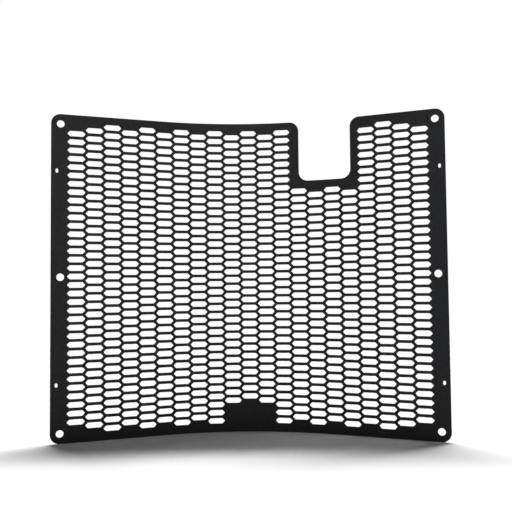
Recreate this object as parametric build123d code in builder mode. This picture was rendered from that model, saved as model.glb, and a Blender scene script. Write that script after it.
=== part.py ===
"""Motorcycle radiator guard: one aluminium sheet, cut to a mesh of long hexagons and bent round.

Millimetres. +Z is up, -Y is the hollow front, and the origin is under the middle, level with the lower edge.
Places on the sheet are given as on the flat blank: across from its middle line, up from its lower edge.
"""

from build123d import *

import os
from math import cos, isclose, radians, sin, tan

# the blank, before it is bent
sheet_width = 383.0
sheet_height = 309.0
sheet_thickness = 1.5
corner_radius = 9.0

# the bend: a middle rounded towards the front in small equal folds, between two flat wings
bend_radius = 264.0
bend_width = 176.0
bend_folds = 9

# the notch in the top edge, which clears the filler neck
notch_left = 51.0
notch_width = 51.6
notch_depth = 59.7
notch_rim = 6.0

# the mesh: columns of long hexagons, every second column half a row higher
column_pitch = 27.1
row_pitch = 12.9
web = 3.7
point_angle = 45.0
mesh_rise = 0.6
end_rim = 6.0

# plain lands in the mesh: one at each corner, and a plate over the middle of the lower edge
corner_land_width = 30.0
corner_land_height = 14.0
plate_width = 56.0
plate_height = 28.5

# three bolt holes up each side, and two slots for cable ties between them
bolt_hole_diameter = 7.0
bolt_from_side = 8.7
bolt_from_end = 9.3
bolt_land = 1.5
tie_slot_length = 4.1
tie_slot_width = 2.4
tie_slot_from_side = 5.4
tie_slot_from_end = 54.0

# the bend seen from above: how far its back and the front edges of the wings lie from its centre
half_width = sheet_width / 2
half_bend = bend_width / 2
wing_turn = half_bend / bend_radius
fold_turn = 2 * wing_turn / bend_folds
back_reach = (bend_radius + sheet_thickness) / cos(fold_turn / 2)
front_reach = bend_radius * cos(wing_turn) - (half_width - half_bend) * sin(wing_turn)
bend_centre_y = -(front_reach + back_reach) / 2

# the openings: as large as the webs between them allow
point_slope = radians(point_angle)
opening_height = row_pitch - web
opening_length = column_pitch + row_pitch / 2 / tan(point_slope) - web / sin(point_slope)
opening_flat = opening_length - opening_height / tan(point_slope)
mesh_half_width = half_width - bolt_from_side - bolt_hole_diameter / 2 - bolt_land
side_columns = int((mesh_half_width - opening_length / 2) / column_pitch)
rows_each_way = int(sheet_height / 2 / row_pitch)
cut_reach = 4 * sheet_thickness

# an edge runs through the sheet if it is as long as the sheet is thick, give or take this share
through_tolerance = 0.01


def on_sheet(across, up):
    """The plane that touches the front face there: x along the sheet, y up, z out to the front."""
    on_bend = max(-half_bend, min(half_bend, across))
    on_wing = across - on_bend
    turn = on_bend / bend_radius
    x = bend_radius * sin(turn) + on_wing * cos(turn)
    y = bend_centre_y + bend_radius * cos(turn) - on_wing * sin(turn)
    return Plane(origin=(x, y, up), x_dir=(cos(turn), -sin(turn), 0), z_dir=(-sin(turn), -cos(turn), 0))


def fold_corner(fold):
    """Where one small fold of the bend shows in the front face, seen from above."""
    turn = (fold + 0.5) * fold_turn - wing_turn
    reach = bend_radius / cos(fold_turn / 2)
    return (reach * sin(turn), bend_centre_y + reach * cos(turn))


def is_plain(across, up):
    """Whether the sheet stays whole instead of having an opening with its middle there."""
    from_side = half_width - abs(across)
    from_end = min(up, sheet_height - up)
    past_end = from_end < end_rim + opening_height / 2
    at_corner = from_side < corner_land_width and from_end < corner_land_height
    on_plate = abs(across) < plate_width / 2 and up < plate_height
    from_notch = abs(across - notch_left - notch_width / 2) - notch_width / 2 - opening_length / 2
    under_notch = sheet_height - notch_depth - up - opening_height / 2
    at_notch = from_notch < notch_rim and under_notch < notch_rim
    return past_end or at_corner or on_plate or at_notch


def opening_places():
    """The planes of all openings, column by column from the left."""
    for column in range(-side_columns, side_columns + 1):
        across = column * column_pitch
        stagger = row_pitch / 2 * (column % 2)
        for row in range(-rows_each_way - 1, rows_each_way + 1):
            up = sheet_height / 2 + mesh_rise + stagger + row * row_pitch
            if not is_plain(across, up):
                yield on_sheet(across, up)


os.makedirs("parts", exist_ok=True)

# the punch for one opening
with BuildPart() as punch:
    with BuildSketch():
        Polygon(
            (opening_length / 2, 0),
            (opening_flat / 2, opening_height / 2),
            (-opening_flat / 2, opening_height / 2),
            (-opening_length / 2, 0),
            (-opening_flat / 2, -opening_height / 2),
            (opening_flat / 2, -opening_height / 2),
        )
    extrude(amount=cut_reach, both=True)

with BuildPart() as radiator_guard:
    # the bent blank: its front face seen from above, thickened towards the back and raised
    with BuildSketch():
        with BuildLine():
            Polyline(
                on_sheet(-half_width, 0).origin,
                *[fold_corner(fold) for fold in range(bend_folds)],
                on_sheet(half_width, 0).origin,
            )
            offset(amount=sheet_thickness, kind=Kind.INTERSECTION, side=Side.LEFT)
        make_face()
    extrude(amount=sheet_height)

    # the notch, with its sides square to the sheet
    with BuildSketch(Plane.XY.offset(sheet_height - notch_depth)):
        left_side = on_sheet(notch_left, 0)
        right_side = on_sheet(notch_left + notch_width, 0)
        with BuildLine():
            Polyline(
                left_side.from_local_coords((0, 0, cut_reach)),
                right_side.from_local_coords((0, 0, cut_reach)),
                right_side.from_local_coords((0, 0, -cut_reach)),
                left_side.from_local_coords((0, 0, -cut_reach)),
                close=True,
            )
        make_face()
    extrude(amount=notch_depth, mode=Mode.SUBTRACT)

    # every corner of the outline is rounded, those of the notch too: their edges run through the sheet
    edges = radiator_guard.edges()
    corners = edges.filter_by(lambda edge: isclose(edge.length, sheet_thickness, rel_tol=through_tolerance))
    fillet(corners, corner_radius)

    # the bolt holes and the slots for cable ties on the wings
    bolt_across = half_width - bolt_from_side
    bolt_heights = (bolt_from_end, sheet_height / 2, sheet_height - bolt_from_end)
    with Locations(*[on_sheet(side * bolt_across, up) for side in (-1, 1) for up in bolt_heights]):
        Hole(bolt_hole_diameter / 2)

    tie_across = half_width - tie_slot_from_side
    tie_heights = (tie_slot_from_end, sheet_height - tie_slot_from_end)
    with BuildSketch(*[on_sheet(side * tie_across, up) for side in (-1, 1) for up in tie_heights]):
        SlotOverall(tie_slot_length, tie_slot_width, rotation=90)
    extrude(amount=cut_reach, both=True, mode=Mode.SUBTRACT)

    # the mesh, each opening punched square to the sheet
    with Locations(*opening_places()):
        add(punch.part, mode=Mode.SUBTRACT)

radiator_guard.part.label = "radiator_guard"
export_step(radiator_guard.part, "parts/radiator_guard.step")
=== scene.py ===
"""Motorcycle radiator guard: the looks of the packed part, laid out as an add-on and run as a script.

Metres. The guard stands on its lower edge, +Z is up and its hollow front looks along -Y. The sheet is cut
flat in the XZ plane, with its front face at y = 0. Then it is thickened towards +Y, bent and moved into the
frame. Places on the flat sheet are given across from its middle line and up from its lower edge.
"""

from math import ceil, cos, pi, radians, sin, tan

import bmesh
import bpy
from bpy.props import FloatProperty, FloatVectorProperty, PointerProperty
from bpy.types import Operator, Panel, PropertyGroup
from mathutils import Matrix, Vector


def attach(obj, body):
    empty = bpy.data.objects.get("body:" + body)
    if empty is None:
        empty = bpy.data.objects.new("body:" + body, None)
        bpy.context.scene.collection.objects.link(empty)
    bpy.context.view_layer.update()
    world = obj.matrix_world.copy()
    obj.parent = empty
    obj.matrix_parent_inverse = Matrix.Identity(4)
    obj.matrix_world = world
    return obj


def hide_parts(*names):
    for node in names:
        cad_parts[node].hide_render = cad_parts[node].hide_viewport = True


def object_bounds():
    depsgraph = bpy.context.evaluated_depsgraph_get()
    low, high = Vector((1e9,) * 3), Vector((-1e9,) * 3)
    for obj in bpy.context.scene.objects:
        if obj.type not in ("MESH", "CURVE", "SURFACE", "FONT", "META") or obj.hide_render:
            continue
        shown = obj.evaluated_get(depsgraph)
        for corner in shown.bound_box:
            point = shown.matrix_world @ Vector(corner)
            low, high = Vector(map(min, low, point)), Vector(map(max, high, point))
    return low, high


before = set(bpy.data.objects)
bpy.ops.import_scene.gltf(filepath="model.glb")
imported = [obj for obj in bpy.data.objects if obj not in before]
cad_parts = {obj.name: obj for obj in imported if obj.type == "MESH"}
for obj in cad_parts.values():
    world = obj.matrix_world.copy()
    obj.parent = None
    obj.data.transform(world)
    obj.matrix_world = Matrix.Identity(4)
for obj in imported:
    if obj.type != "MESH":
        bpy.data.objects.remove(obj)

bl_info = {
    "name": "Motorcycle radiator guard",
    "version": (1, 0, 0),
    "blender": (4, 5, 0),
    "location": "View3D > Sidebar > Guard",
    "description": "Models a bent radiator guard with a mesh of long hexagons, on a white stage",
    "category": "Add Mesh",
}

CAD_LOW, CAD_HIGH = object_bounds()
GUARD_NODE = "radiator_guard"

# how close two points count as one, and how far the outline may run without a point to bend at
SAME_PLACE = 0.00002
BEND_STEP = 0.0085

# how finely the round stretches are divided
CORNER_STEPS = 10
POINT_STEPS = 2
BOLT_HOLE_SIDES = 28
TIE_SLOT_SIDES = 16

# angles between faces: less is one plane, more is an edge to round, less is shaded smooth
FLAT_ANGLE = radians(1)
EDGE_ANGLE = radians(60)
SMOOTH_ANGLE = radians(30)

# turns a flat shape from the floor into the plane of the blank
STAND_UP = (pi / 2, 0, 0)

# each cell of the mesh starts as an even hexagon
CELL_SIDES = 6
CELL_TURN = 2 * pi / CELL_SIDES

# how many finer layers the noise of the coat has, and the part of the grain that changes its colour
PATCH_LAYERS = 3
GRAIN_LAYERS = 2
GRAIN_LOW = 0.35
GRAIN_HIGH = 0.65

# lamps in the row above the guard, and the colour of the room round it
TOP_LAMPS = 7
WHITE = (1, 1, 1, 1)


def length(name, description, default):
    """A length in metres that a user can change."""
    return FloatProperty(
        name=name, description=description, default=default, min=0, precision=5, unit="LENGTH"
    )


def share(name, description, default):
    """A plain number from 0 to 1 that a user can change."""
    return FloatProperty(
        name=name, description=description, default=default, min=0, max=1, subtype="FACTOR"
    )


def angle(name, description, degrees):
    """An angle that a user can change."""
    return FloatProperty(name=name, description=description, default=radians(degrees), subtype="ANGLE")


def colour(name, description, default):
    """A colour that a user can change."""
    return FloatVectorProperty(
        name=name, description=description, default=default, min=0, max=1, subtype="COLOR"
    )


def place(name, description, default):
    """A place in metres that a user can change."""
    return FloatVectorProperty(
        name=name, description=description, default=default, subtype="TRANSLATION", unit="LENGTH"
    )


def turn(name, description, degrees):
    """A turn about X, Y and Z that a user can change."""
    default = tuple(radians(part) for part in degrees)
    return FloatVectorProperty(name=name, description=description, default=default, subtype="EULER")


class GuardSheet(PropertyGroup):
    """The blank and its bend."""

    width: length("Width", "Width of the blank before it is bent", 0.383)
    height: length("Height", "Height of the guard", CAD_HIGH.z - CAD_LOW.z)
    thickness: length("Thickness", "Thickness of the metal", 0.0015)
    corner_radius: length("Corner radius", "Radius of the outline's corners and of the notch's", 0.009)
    bend_radius: length("Bend radius", "Radius of the front face in the bent middle", 0.264)
    bend_width: length("Bend width", "Width of the bent middle, between the two flat wings", 0.176)
    notch_left: length("Notch left", "From the middle line to the notch's left side", 0.051)
    notch_width: length("Notch width", "Width of the notch for the filler neck", 0.0516)
    notch_depth: length("Notch depth", "Depth of the notch below the top edge", 0.0597)
    edge_round: length("Edge rounding", "Width of the small round that the coat gives each edge", 0.00015)


class GuardMesh(PropertyGroup):
    """The hexagon mesh and the lands that stay plain."""

    column_pitch: length("Column pitch", "From one column of openings to the next", 0.01684)
    row_pitch: length("Row pitch", "From one opening to the next in a column", 0.008)
    web: length("Web", "Width of the metal between two openings", 0.00275)
    point_angle: angle("Point angle", "Slope of the openings' pointed ends against their long sides", 45)
    point_round: length("Point rounding", "Radius at the points of an opening", 0.0008)
    rise: length("Rise", "How far the mesh's middle is above the sheet's", 0.0006)
    end_rim: length("End rim", "Plain rim along the top and lower edges", 0.006)
    notch_rim: length("Notch rim", "Plain rim round the notch", 0.006)
    land_width: length("Corner land width", "Width of the plain land at each corner", 0.03)
    land_height: length("Corner land height", "Height of the plain land at each corner", 0.014)
    plate_width: length("Plate width", "Width of the plain plate over the lower edge", 0.056)
    plate_height: length("Plate height", "Height of the plain plate over the lower edge", 0.0285)


class GuardHoles(PropertyGroup):
    """The bolt holes and the slots for cable ties along the two sides."""

    bolt_diameter: length("Bolt hole", "Diameter of the bolt holes", 0.007)
    bolt_from_side: length("Bolt from side", "From the side edge to the middle of a bolt hole", 0.0087)
    bolt_from_end: length("Bolt from end", "From the top or lower edge to the end bolt holes", 0.0093)
    bolt_land: length("Bolt land", "Metal between a bolt hole and the mesh", 0.0015)
    slot_length: length("Tie slot length", "Height of the slots for cable ties", 0.0041)
    slot_width: length("Tie slot width", "Width of the slots for cable ties", 0.0024)
    slot_from_side: length("Tie slot from side", "From the side edge to the middle of a tie slot", 0.0054)
    slot_from_end: length("Tie slot from end", "From the top or lower edge to a tie slot", 0.054)


class GuardCoat(PropertyGroup):
    """The black powder coat."""

    dark: colour("Coat colour", "Colour between the grain", (0.0035, 0.0038, 0.0046))
    pale: colour("Grain colour", "Colour on top of the grain", (0.0195, 0.0204, 0.0225))
    gloss: share("Specular level", "How much of the light the surface of the coat throws back", 0.12)
    smoothest: share("Lowest roughness", "Roughness on top of the grain", 0.36)
    roughest: share("Highest roughness", "Roughness between the grain", 0.5)
    grain: length("Grain", "Size of the coat's pebbled grain", 0.0007)
    grain_depth: length("Grain depth", "Depth of the grain", 0.00007)
    patch: length("Patch", "Size of the paler patches", 0.03)
    speckle: share("Speckle", "Share of the change of colour that is in the grain, not in the patches", 0.7)


class GuardStage(PropertyGroup):
    """Camera, lamps, floor and room."""

    camera_place: place("Camera place", "Where the camera stands", (0.0127, -0.594, 0.1444))
    camera_turn: turn("Camera turn", "Which way the camera looks", (92.47, 0.549, 1.085))
    camera_lens: FloatProperty(
        name="Lens",
        description="Focal length on a sensor 36 mm wide",
        default=43.205,
        unit="CAMERA",
    )
    camera_shift: FloatVectorProperty(
        name="Camera shift",
        description="How far the view is shifted to the right and up, as shares of the picture's width",
        default=(0.0112, 0.0072),
        size=2,
    )
    top_light: FloatProperty(
        name="Top light",
        description="Strength of the row of lamps above and a little behind the guard",
        default=3.35,
        min=0,
    )
    top_lean: angle("Top light lean", "How far the row leans to the back of the guard", 14.5)
    top_tilt: angle("Top light tilt", "How far the middle of the row leans to the right of the guard", 8)
    top_fan: angle("Top light fan", "Angle from the first lamp of the row to the last", 40)
    top_spread: angle("Top light spread", "Angle that each lamp spans, which softens the shadow", 8)
    front_light: FloatProperty(
        name="Front light",
        description="Power of the soft lamp in front",
        default=3.5,
        min=0,
        unit="POWER",
    )
    front_place: place("Front light place", "Where the soft lamp stands", (0.1, -1.5, 0.6))
    front_turn: turn("Front light turn", "Which way the soft lamp shines", (74, 0, 4))
    front_width: length("Front light width", "Width of the soft lamp", 0.6)
    front_height: length("Front light height", "Height of the soft lamp", 0.4)
    room_light: share("Room light", "Strength of the light from the white room round the guard", 0.05)
    floor_width: length("Floor width", "Width and depth of the floor", 20)
    floor_near: length("Floor near", "How far from the guard's middle the floor starts to fade", 0.6)
    floor_far: length("Floor far", "How far from the guard's middle only the white room is seen", 1.2)
    floor_colour: colour("Floor colour", "Colour of the floor", (0.97, 0.97, 0.97))


def deselect_all():
    """Leaves nothing selected in object mode."""
    bpy.ops.object.select_all(action="DESELECT")


def make_active(piece):
    """Selects this object alone."""
    deselect_all()
    piece.select_set(True)
    bpy.context.view_layer.objects.active = piece


def select(kind, wanted):
    """Selects, in edit mode, each VERT, EDGE or FACE that the test wants, and returns their count."""
    bpy.ops.mesh.select_mode(type=kind)
    bpy.ops.mesh.select_all(action="DESELECT")
    mesh = bpy.context.edit_object.data
    edited = bmesh.from_edit_mesh(mesh)
    elements = {"VERT": edited.verts, "EDGE": edited.edges, "FACE": edited.faces}[kind]
    chosen = [element for element in elements if wanted(element)]
    for element in chosen:
        element.select_set(True)
    edited.select_flush_mode()
    bmesh.update_edit_mesh(mesh)
    return len(chosen)


def cut_across(point, normal):
    """Cuts all faces of the mesh in edit mode along a plane."""
    bpy.ops.mesh.select_all(action="SELECT")
    bpy.ops.mesh.bisect(plane_co=point, plane_no=normal)


def apply_modifier(piece, kind, **settings):
    """Gives the active object a modifier with these settings, and applies it."""
    modifier = piece.modifiers.new(kind.lower(), kind)
    for name, value in settings.items():
        setattr(modifier, name, value)
    bpy.ops.object.modifier_apply(modifier=modifier.name)


def point_run(mesh):
    """How far the points of one column's cells reach in between those of the next."""
    return mesh.row_pitch / 2 / tan(mesh.point_angle)


def opening_size(mesh):
    """Half the length and half the height of one opening."""
    half_length = (mesh.column_pitch + point_run(mesh) - mesh.web / sin(mesh.point_angle)) / 2
    return half_length, (mesh.row_pitch - mesh.web) / 2


def is_plain(sheet, mesh, across, up):
    """Whether the sheet stays whole instead of having an opening with its middle there."""
    half_length, half_height = opening_size(mesh)
    from_side = sheet.width / 2 - abs(across)
    from_end = min(up, sheet.height - up)
    past_end = from_end < mesh.end_rim + half_height
    at_corner = from_side < mesh.land_width and from_end < mesh.land_height
    on_plate = abs(across) < mesh.plate_width / 2 and up < mesh.plate_height
    half_notch = sheet.notch_width / 2
    from_notch = abs(across - sheet.notch_left - half_notch) - half_notch - half_length
    under_notch = sheet.height - sheet.notch_depth - up - half_height
    at_notch = from_notch < mesh.notch_rim and under_notch < mesh.notch_rim
    return past_end or at_corner or on_plate or at_notch


def column_runs(sheet, mesh, holes):
    """The unbroken runs of openings: across, height of the lowest one, and how many, from the left."""
    half_length, _ = opening_size(mesh)
    free_half = sheet.width / 2 - holes.bolt_from_side - holes.bolt_diameter / 2 - holes.bolt_land
    side_columns = int((free_half - half_length) / mesh.column_pitch)
    side_rows = int(sheet.height / 2 / mesh.row_pitch) + 1
    for column in range(-side_columns, side_columns + 1):
        across = column * mesh.column_pitch
        middle = sheet.height / 2 + mesh.rise + mesh.row_pitch / 2 * (column % 2)
        run = []
        for row in range(-side_rows, side_rows + 1):
            up = middle + row * mesh.row_pitch
            if not is_plain(sheet, mesh, across, up):
                run.append(up)
            elif run:
                yield across, run[0], len(run)
                run = []
        if run:
            yield across, run[0], len(run)


def add_cell(mesh, metal, opening):
    """One cell of the mesh at the origin: a long hexagon of metal, and a face where its opening is."""
    half_length, _ = opening_size(mesh)
    cell_half = (mesh.column_pitch + point_run(mesh)) / 2

    # it stands on a side, so that two of its corners are level with its middle
    bpy.ops.mesh.primitive_circle_add(
        vertices=CELL_SIDES, radius=cell_half, fill_type="NGON", rotation=(pi / 2, CELL_TURN / 2, 0)
    )
    bpy.ops.object.transform_apply(location=False, rotation=True, scale=False)
    cell = bpy.context.object
    cell.data.materials.append(metal)
    cell.data.materials.append(opening)
    bpy.ops.object.mode_set(mode="EDIT")

    # the other four corners move to where the neighbours' points meet
    select("VERT", lambda vert: abs(vert.co.z) > SAME_PLACE)
    longer = (cell_half - point_run(mesh)) / (cell_half * cos(CELL_TURN))
    lower = mesh.row_pitch / 2 / (cell_half * sin(CELL_TURN))
    bpy.ops.transform.resize(value=(longer, 1, lower), center_override=(0, 0, 0))

    # half a web of metal stays all round the opening
    bpy.ops.mesh.select_mode(type="FACE")
    bpy.ops.mesh.select_all(action="SELECT")
    bpy.ops.mesh.inset(thickness=mesh.web / 2)

    # the opening's two points are rounded
    select("VERT", lambda vert: abs(abs(vert.co.x) - half_length) < SAME_PLACE)
    bpy.ops.mesh.bevel(offset=mesh.point_round, segments=POINT_STEPS, affect="VERTICES")
    select("FACE", lambda face: face.calc_center_median().length < SAME_PLACE)
    cell.active_material_index = cell.data.materials.find(opening.name)
    bpy.ops.object.material_slot_assign()
    bpy.ops.object.mode_set(mode="OBJECT")
    return cell


def add_mesh_field(sheet, mesh, holes, metal, opening):
    """All cells of the mesh, joined where they meet."""
    cell = add_cell(mesh, metal, opening)
    columns = []
    for across, lowest, count in column_runs(sheet, mesh, holes):
        make_active(cell)
        bpy.ops.object.duplicate()
        column = bpy.context.object
        bpy.ops.transform.translate(value=(across, 0, lowest))
        bpy.ops.object.transform_apply(location=True, rotation=False, scale=False)
        apply_modifier(
            column,
            "ARRAY",
            count=count,
            use_relative_offset=False,
            use_constant_offset=True,
            constant_offset_displace=(0, 0, mesh.row_pitch),
        )
        columns.append(column)
    make_active(cell)
    bpy.ops.object.delete()
    for column in columns:
        column.select_set(True)
    field = columns[0]
    bpy.context.view_layer.objects.active = field
    bpy.ops.object.join()
    bpy.ops.object.mode_set(mode="EDIT")
    bpy.ops.mesh.select_all(action="SELECT")
    bpy.ops.mesh.remove_doubles(threshold=SAME_PLACE)
    bpy.ops.object.mode_set(mode="OBJECT")
    return field


def add_outline(sheet):
    """The edge of the sheet as a line: a rectangle with the notch, its corners rounded."""
    notch_right = sheet.notch_left + sheet.notch_width
    notch_floor = sheet.height - sheet.notch_depth
    bpy.ops.mesh.primitive_plane_add(size=1, location=(0, 0, sheet.height / 2), rotation=STAND_UP)
    outline = bpy.context.object
    outline.scale = (sheet.width, sheet.height, 1)
    bpy.ops.object.transform_apply(location=True, rotation=True, scale=True)
    bpy.ops.object.mode_set(mode="EDIT")

    # the notch is cut out of the top edge
    cut_across((sheet.notch_left, 0, 0), (1, 0, 0))
    cut_across((notch_right, 0, 0), (1, 0, 0))
    cut_across((0, 0, notch_floor), (0, 0, 1))

    def in_notch(face):
        middle = face.calc_center_median()
        return sheet.notch_left < middle.x < notch_right and middle.z > notch_floor

    select("FACE", in_notch)
    bpy.ops.mesh.delete(type="FACE")
    bpy.ops.mesh.select_all(action="SELECT")
    bpy.ops.mesh.dissolve_faces()
    bpy.ops.mesh.dissolve_limited(angle_limit=FLAT_ANGLE)

    # the corners are rounded, and only the line is kept
    bpy.ops.mesh.select_mode(type="VERT")
    bpy.ops.mesh.select_all(action="SELECT")
    bpy.ops.mesh.bevel(offset=sheet.corner_radius, segments=CORNER_STEPS, affect="VERTICES")
    bpy.ops.mesh.select_all(action="SELECT")
    bpy.ops.mesh.delete(type="ONLY_FACE")

    # the long runs get points, so that they can follow the bend
    def is_long(edge):
        return edge.calc_length() > BEND_STEP

    while select("EDGE", is_long):
        edited = bmesh.from_edit_mesh(outline.data)
        longest = max(edited.edges, key=lambda edge: edge.calc_length())
        run = longest.calc_length()
        select("EDGE", lambda edge: abs(edge.calc_length() - run) < SAME_PLACE)
        bpy.ops.mesh.subdivide(number_cuts=ceil(run / BEND_STEP) - 1)
    return outline


def add_side_holes(sheet, holes):
    """The bolt holes and tie slots as lines, in the outline that is in edit mode."""
    bolt_across = sheet.width / 2 - holes.bolt_from_side
    slot_across = sheet.width / 2 - holes.slot_from_side
    stretch = (holes.slot_length - holes.slot_width) / 2
    half_step = pi / TIE_SLOT_SIDES
    for side in (-1, 1):
        for up in (holes.bolt_from_end, sheet.height / 2, sheet.height - holes.bolt_from_end):
            bpy.ops.mesh.primitive_circle_add(
                vertices=BOLT_HOLE_SIDES,
                radius=holes.bolt_diameter / 2,
                location=(side * bolt_across, 0, up),
                rotation=STAND_UP,
            )
        for up in (holes.slot_from_end, sheet.height - holes.slot_from_end):
            bpy.ops.mesh.primitive_circle_add(
                vertices=TIE_SLOT_SIDES,
                radius=holes.slot_width / 2,
                location=(side * slot_across, 0, up),
                rotation=(pi / 2, half_step, 0),
            )
            # the upper and the lower half of the circle are drawn apart
            edited = bmesh.from_edit_mesh(bpy.context.edit_object.data)
            circle = {vert.index for vert in edited.verts if vert.select}
            for way in (1, -1):
                select("VERT", lambda vert: vert.index in circle and (vert.co.z - up) * way > 0)
                bpy.ops.transform.translate(value=(0, 0, way * stretch))
    bpy.ops.object.mode_set(mode="OBJECT")


def fill_rim(guard, metal, opening):
    """Fills the metal between the outline, the holes and the mesh, and then opens the mesh."""
    bpy.ops.object.mode_set(mode="EDIT")
    slots = guard.data.materials
    guard.active_material_index = slots.find(metal.name)
    bpy.ops.mesh.select_mode(type="EDGE")
    bpy.ops.mesh.select_all(action="DESELECT")
    bpy.ops.mesh.select_non_manifold(
        extend=False,
        use_wire=True,
        use_boundary=True,
        use_multi_face=False,
        use_non_contiguous=False,
        use_verts=False,
    )
    bpy.ops.mesh.fill(use_beauty=True)
    select("FACE", lambda face: face.material_index == slots.find(opening.name))
    bpy.ops.mesh.delete(type="FACE")


def face_front(guard):
    """Turns every face of the flat sheet in edit mode to the front."""
    bpy.ops.mesh.select_all(action="SELECT")
    bpy.ops.mesh.normals_make_consistent(inside=False)
    edited = bmesh.from_edit_mesh(guard.data)
    if sum(face.normal.y * face.calc_area() for face in edited.faces) > 0:
        bpy.ops.mesh.flip_normals()


def require_closed(piece):
    """Stops with an error if the mesh has an edge that isn't between exactly two faces."""
    tested = bmesh.new()
    tested.from_mesh(piece.data)
    open_edges = sum(not edge.is_manifold for edge in tested.edges)
    tested.free()
    if open_edges:
        raise RuntimeError(f"{piece.name} isn't closed: {open_edges} edges are open")


def model_guard(sheet, mesh, holes, metal):
    """The whole guard: cut flat, thickened, its edges rounded, bent, and moved into the frame."""
    deselect_all()
    opening = bpy.data.materials.new("opening")
    field = add_mesh_field(sheet, mesh, holes, metal, opening)
    outline = add_outline(sheet)
    add_side_holes(sheet, holes)
    field.select_set(True)
    outline.select_set(True)
    bpy.context.view_layer.objects.active = field
    bpy.ops.object.join()
    guard = bpy.context.object
    guard.name = "guard_sheet"
    fill_rim(guard, metal, opening)

    # the flats of the openings get a point in their middle where the sheet is bent
    half_bend = sheet.bend_width / 2
    bent_columns = int(half_bend / mesh.column_pitch)
    for column in range(-bent_columns, bent_columns + 1):
        cut_across((column * mesh.column_pitch, 0, 0), (1, 0, 0))
    face_front(guard)
    bpy.ops.object.mode_set(mode="OBJECT")

    wing_share = (sheet.width / 2 - half_bend) / sheet.width
    apply_modifier(guard, "SOLIDIFY", thickness=sheet.thickness, offset=-1)
    apply_modifier(
        guard,
        "BEVEL",
        width=sheet.edge_round,
        segments=1,
        limit_method="ANGLE",
        angle_limit=EDGE_ANGLE,
        use_clamp_overlap=False,
    )
    apply_modifier(
        guard,
        "SIMPLE_DEFORM",
        deform_method="BEND",
        deform_axis="Z",
        angle=-sheet.bend_width / sheet.bend_radius,
        limits=(wing_share, 1 - wing_share),
    )
    bpy.context.view_layer.update()
    front = min(vert.co.y for vert in guard.data.vertices)
    bpy.ops.transform.translate(value=(0, CAD_LOW.y - front, CAD_LOW.z))
    bpy.ops.object.transform_apply(location=True, rotation=True, scale=True)
    bpy.ops.object.shade_smooth_by_angle(angle=SMOOTH_ANGLE)
    guard.data.materials.pop(index=guard.data.materials.find(opening.name))
    bpy.data.materials.remove(opening)
    require_closed(guard)
    return guard


def powder_coat(coat):
    """Matt black powder coat: a fine pebbled grain, paler on top, and soft paler patches."""
    material = bpy.data.materials.new("matt_black_powder_coat")
    material.use_nodes = True
    nodes = material.node_tree.nodes
    link = material.node_tree.links.new
    shader = nodes["Principled BSDF"]
    shader.inputs["Specular IOR Level"].default_value = coat.gloss
    coordinates = nodes.new("ShaderNodeTexCoord")

    def noise(size, layers):
        """Noise whose lumps are about this size, with this many finer layers."""
        node = nodes.new("ShaderNodeTexNoise")
        node.inputs["Scale"].default_value = 1 / size
        node.inputs["Detail"].default_value = layers
        link(coordinates.outputs["Object"], node.inputs["Vector"])
        return node.outputs["Fac"]

    patches = noise(coat.patch, PATCH_LAYERS)
    grain = noise(coat.grain, GRAIN_LAYERS)

    specks = nodes.new("ShaderNodeMapRange")
    specks.inputs["From Min"].default_value = GRAIN_LOW
    specks.inputs["From Max"].default_value = GRAIN_HIGH
    link(grain, specks.inputs["Value"])

    tint = nodes.new("ShaderNodeMix")
    tint.data_type = "RGBA"
    tint.inputs["A"].default_value = (*coat.dark, 1)
    tint.inputs["B"].default_value = (*coat.pale, 1)
    tone = nodes.new("ShaderNodeMix")
    tone.inputs["Factor"].default_value = coat.speckle
    link(patches, tone.inputs["A"])
    link(specks.outputs["Result"], tone.inputs["B"])
    link(tone.outputs["Result"], tint.inputs["Factor"])
    link(tint.outputs["Result"], shader.inputs["Base Color"])

    roughness = nodes.new("ShaderNodeMapRange")
    roughness.inputs["To Min"].default_value = coat.roughest
    roughness.inputs["To Max"].default_value = coat.smoothest
    link(grain, roughness.inputs["Value"])
    link(roughness.outputs["Result"], shader.inputs["Roughness"])

    bump = nodes.new("ShaderNodeBump")
    bump.inputs["Distance"].default_value = coat.grain_depth
    link(grain, bump.inputs["Height"])
    link(bump.outputs["Normal"], shader.inputs["Normal"])
    return material


def looking_ray(nodes, link):
    """Whether a ray comes from the eye, straight or by way of a reflection or a clear piece."""
    path = nodes.new("ShaderNodeLightPath")
    looking = path.outputs["Is Camera Ray"]
    for ray in ("Is Glossy Ray", "Is Transmission Ray"):
        either = nodes.new("ShaderNodeMath")
        either.operation = "MAXIMUM"
        link(looking, either.inputs[0])
        link(path.outputs[ray], either.inputs[1])
        looking = either.outputs["Value"]
    return looking


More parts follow.
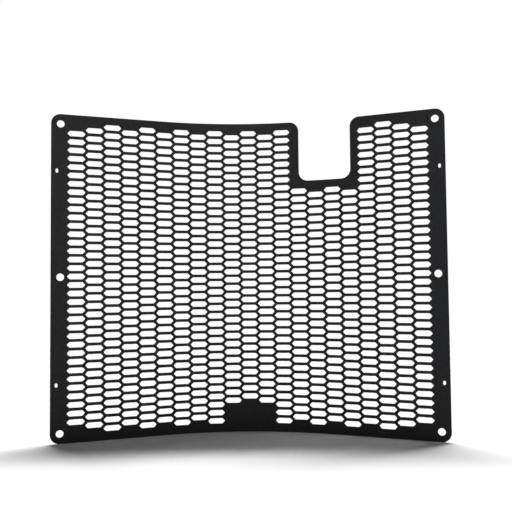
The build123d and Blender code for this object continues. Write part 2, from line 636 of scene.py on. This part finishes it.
def white_floor(stage):
    """A matt white floor under the guard. To the eye it fades into the white room, away from the shadow."""
    bpy.ops.mesh.primitive_plane_add(size=stage.floor_width, location=(0, 0, CAD_LOW.z))
    floor = bpy.context.object
    floor.name = "floor"
    paint = bpy.data.materials.new("matt_white_floor")
    paint.use_nodes = True
    nodes = paint.node_tree.nodes
    link = paint.node_tree.links.new
    matt = nodes["Principled BSDF"]
    matt.inputs["Base Color"].default_value = (*stage.floor_colour, 1)
    matt.inputs["Roughness"].default_value = 1
    matt.inputs["Specular IOR Level"].default_value = 0

    coordinates = nodes.new("ShaderNodeTexCoord")
    distance = nodes.new("ShaderNodeVectorMath")
    distance.operation = "LENGTH"
    link(coordinates.outputs["Object"], distance.inputs["Vector"])
    fade = nodes.new("ShaderNodeMapRange")
    fade.inputs["From Min"].default_value = stage.floor_near
    fade.inputs["From Max"].default_value = stage.floor_far
    link(distance.outputs["Value"], fade.inputs["Value"])
    unseen = nodes.new("ShaderNodeMath")
    unseen.operation = "MULTIPLY"
    link(looking_ray(nodes, link), unseen.inputs[0])
    link(fade.outputs["Result"], unseen.inputs[1])
    clear = nodes.new("ShaderNodeBsdfTransparent")
    mix = nodes.new("ShaderNodeMixShader")
    link(unseen.outputs["Value"], mix.inputs["Fac"])
    link(matt.outputs["BSDF"], mix.inputs[1])
    link(clear.outputs["BSDF"], mix.inputs[2])
    link(mix.outputs["Shader"], nodes["Material Output"].inputs["Surface"])
    floor.data.materials.append(paint)
    return floor


def white_room(stage):
    """A world that is white to the eye and in reflections, and lights the guard from all round."""
    world = bpy.data.worlds.new("white_room")
    bpy.context.scene.world = world
    world.use_nodes = True
    nodes = world.node_tree.nodes
    link = world.node_tree.links.new
    light = nodes["Background"]
    light.inputs["Color"].default_value = WHITE
    light.inputs["Strength"].default_value = stage.room_light
    seen = nodes.new("ShaderNodeBackground")
    seen.inputs["Color"].default_value = WHITE
    seen.inputs["Strength"].default_value = 1
    mix = nodes.new("ShaderNodeMixShader")
    link(looking_ray(nodes, link), mix.inputs["Fac"])
    link(light.outputs["Background"], mix.inputs[1])
    link(seen.outputs["Background"], mix.inputs[2])
    link(mix.outputs["Shader"], nodes["World Output"].inputs["Surface"])


def add_lamps(stage):
    """A row of lamps above, whose shadow falls to the front, and a soft lamp in front."""
    for lamp in range(TOP_LAMPS):
        from_middle = lamp / (TOP_LAMPS - 1) - 1 / 2
        tilt = stage.top_tilt + stage.top_fan * from_middle
        bpy.ops.object.light_add(type="SUN", rotation=(-stage.top_lean, tilt, 0))
        top = bpy.context.object
        top.name = f"top_light_{lamp + 1}"
        top.data.energy = stage.top_light / TOP_LAMPS
        top.data.angle = stage.top_spread
    bpy.ops.object.light_add(type="AREA", location=stage.front_place, rotation=stage.front_turn)
    front = bpy.context.object
    front.name = "front_light"
    front.data.shape = "RECTANGLE"
    front.data.size = stage.front_width
    front.data.size_y = stage.front_height
    front.data.energy = stage.front_light


def add_camera(stage):
    """The camera, looking at the hollow front."""
    bpy.ops.object.camera_add(location=stage.camera_place, rotation=stage.camera_turn)
    camera = bpy.context.object
    camera.name = "front_camera"
    camera.data.lens = stage.camera_lens
    camera.data.shift_x, camera.data.shift_y = stage.camera_shift
    bpy.context.scene.camera = camera


class GUARD_OT_sheet(Operator):
    """Model the bent guard with its mesh, and coat it"""

    bl_idname = "guard.sheet"
    bl_label = "Add guard sheet"

    def execute(self, context):
        scene = context.scene
        coat = powder_coat(scene.guard_coat)
        guard = model_guard(scene.guard_sheet, scene.guard_mesh, scene.guard_holes, coat)
        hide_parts(GUARD_NODE)
        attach(guard, "root")
        return {"FINISHED"}


class GUARD_OT_stage(Operator):
    """Add the white floor and room, the lamps and the camera"""

    bl_idname = "guard.stage"
    bl_label = "Add stage"

    def execute(self, context):
        stage = context.scene.guard_stage
        deselect_all()
        white_floor(stage)
        white_room(stage)
        add_lamps(stage)
        add_camera(stage)
        context.scene.view_settings.view_transform = "Standard"
        return {"FINISHED"}


class GUARD_PT_sidebar(Panel):
    """Lists the guard's sizes and the steps that make it."""

    bl_idname = "GUARD_PT_sidebar"
    bl_label = "Radiator guard"
    bl_space_type = "VIEW_3D"
    bl_region_type = "UI"
    bl_category = "Guard"

    def draw(self, context):
        for name, group in SCENE_GROUPS.items():
            column = self.layout.column(align=True)
            column.label(text=group.__doc__)
            for setting in group.__annotations__:
                column.prop(getattr(context.scene, name), setting)
        self.layout.operator(GUARD_OT_sheet.bl_idname)
        self.layout.operator(GUARD_OT_stage.bl_idname)


SCENE_GROUPS = {
    "guard_sheet": GuardSheet,
    "guard_mesh": GuardMesh,
    "guard_holes": GuardHoles,
    "guard_coat": GuardCoat,
    "guard_stage": GuardStage,
}
CLASSES = (*SCENE_GROUPS.values(), GUARD_OT_sheet, GUARD_OT_stage, GUARD_PT_sidebar)


def register():
    """Makes the classes known to Blender, and gives each scene its settings."""
    for cls in CLASSES:
        bpy.utils.register_class(cls)
    for name, group in SCENE_GROUPS.items():
        setattr(bpy.types.Scene, name, PointerProperty(type=group))


def unregister():
    """Takes the settings and the classes away again."""
    for name in SCENE_GROUPS:
        delattr(bpy.types.Scene, name)
    for cls in reversed(CLASSES):
        bpy.utils.unregister_class(cls)


def main():
    """Makes the guard and its stage."""
    register()
    bpy.ops.guard.sheet()
    bpy.ops.guard.stage()


if __name__ == "__main__":
    main()
